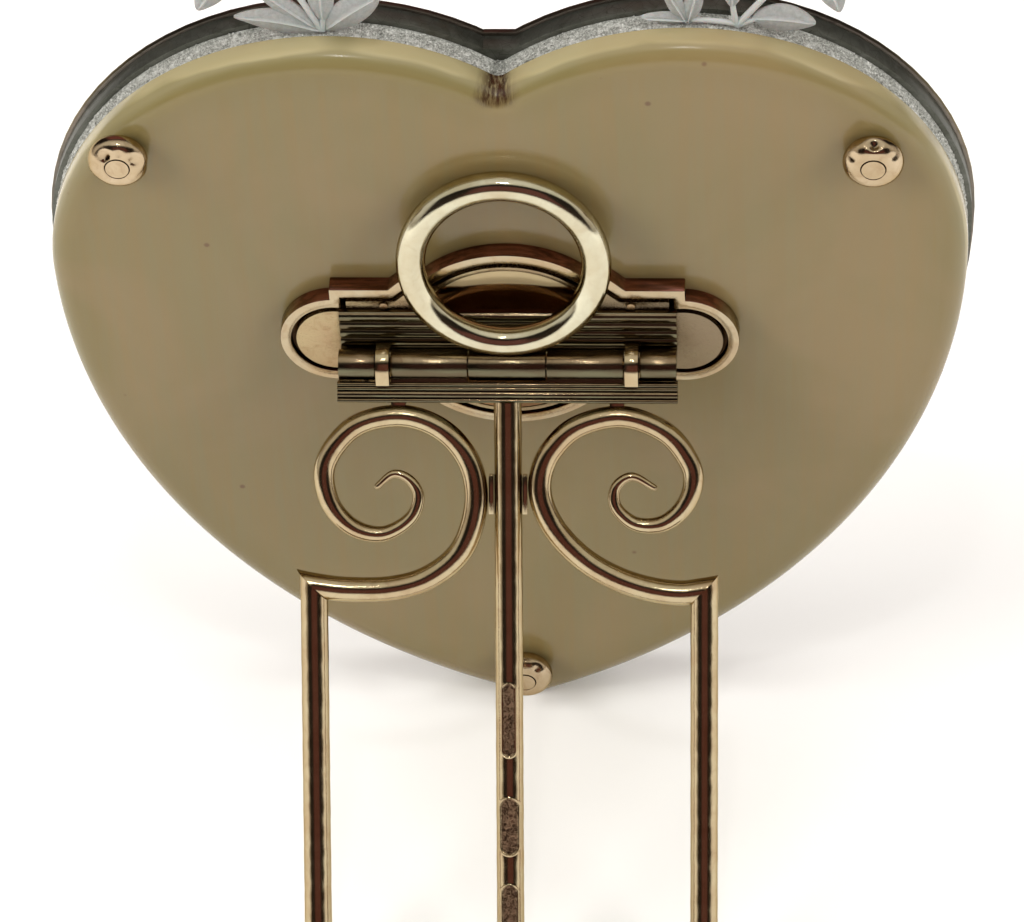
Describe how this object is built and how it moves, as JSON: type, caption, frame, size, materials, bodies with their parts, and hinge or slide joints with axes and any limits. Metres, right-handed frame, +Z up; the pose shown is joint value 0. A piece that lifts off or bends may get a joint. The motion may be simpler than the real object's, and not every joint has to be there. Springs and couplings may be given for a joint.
{
  "type": "heart-shaped strut frame",
  "caption": "Small heart-shaped picture frame with an ivory back, ball nuts, a reeded hinge on a cartouche, a folding scrolled strut and a hanging ring.",
  "frame": {"origin": "middle of the bounding box at the level the frame stands on, under the open strut", "axes": "+Z up along the standing heart, +Y out of the back towards the open strut, +X to the viewer's left when the back is looked at"},
  "size_m": [0.0628, 0.0362, 0.0715],
  "materials": {
    "ivory": "polished, slightly translucent, fine grain",
    "granular_silver": "granulated, bright on the grains",
    "dark_silver": "oxidised silver, satin",
    "crystal": "clear polished",
    "frosted_leaf": "frosted, polished veins",
    "mount_paper": "matte",
    "picture_paper": "matte, plain",
    "backing_card": "matte",
    "edge_gold": "polished rose gold",
    "cartouche_gold": "polished rose gold",
    "panel_gold": "polished rose gold",
    "dish_gold": "polished, darker in the hollow",
    "pin_gold": "satin",
    "hinge_gold": "polished rose gold, reeded",
    "bar_gold": "polished rose gold, fine wear",
    "scroll_gold": "polished rose gold",
    "ring_gold": "polished rose gold",
    "stud_gold": "satin",
    "nut_gold": "polished rose gold, small dents"
  },
  "bodies": {
    "frame": {"ivory_back": "ivory", "granular_band": "granular_silver", "dark_rim": "dark_silver", "gold_edge": "edge_gold", "window_bezel": "edge_gold", "crystal_front": "crystal", "picture_mount": "mount_paper", "picture_card": "picture_paper", "backing_board": "backing_card", "leaf_spray_left": "frosted_leaf", "leaf_spray_right": "frosted_leaf", "stud_left": "stud_gold", "stud_right": "stud_gold", "stud_bottom": "stud_gold", "cartouche_base": "cartouche_gold", "wing_panels": "panel_gold", "cartouche_dish": "dish_gold", "cartouche_rivets": "pin_gold", "cartouche_pins": "pin_gold", "hinge_leaf": "hinge_gold", "stop_lugs": "hinge_gold", "hinge_pin": "pin_gold"},
    "strut": {"strut_rail": "hinge_gold", "strut_rod": "bar_gold", "left_leg": "bar_gold", "right_leg": "bar_gold", "left_scroll": "scroll_gold", "right_scroll": "scroll_gold", "scroll_ties": "bar_gold", "foot_bar": "bar_gold"},
    "ring": {"ring_knuckle": "hinge_gold", "hanging_ring": "ring_gold"},
    "nut_left": {"ball_nut_left": "nut_gold"},
    "nut_right": {"ball_nut_right": "nut_gold"},
    "nut_bottom": {"ball_nut_bottom": "nut_gold"}
  },
  "joints": [
    {"name": "strut_fold", "type": "hinge", "parent": "frame", "child": "strut", "pos_m": [0, -0.00419, 0.03793], "axis": [-1, 0, 0], "range_deg": [0, 38]},
    {"name": "ring_swing", "type": "hinge", "parent": "frame", "child": "ring", "pos_m": [0, -0.00419, 0.03793], "axis": [-1, 0, 0], "range_deg": [0, 70]},
    {"name": "nut_left_turn", "type": "hinge", "parent": "frame", "child": "nut_left", "pos_m": [0.0251, -0.0049, 0.05444], "axis": [0, 0.9925, -0.1219], "continuous": true},
    {"name": "nut_right_turn", "type": "hinge", "parent": "frame", "child": "nut_right", "pos_m": [-0.02445, -0.0049, 0.05444], "axis": [0, 0.9925, -0.1219], "continuous": true},
    {"name": "nut_bottom_turn", "type": "hinge", "parent": "frame", "child": "nut_bottom", "pos_m": [0.00035, -0.01115, 0.00352], "axis": [0, 0.9925, -0.1219], "continuous": true}
  ]
}
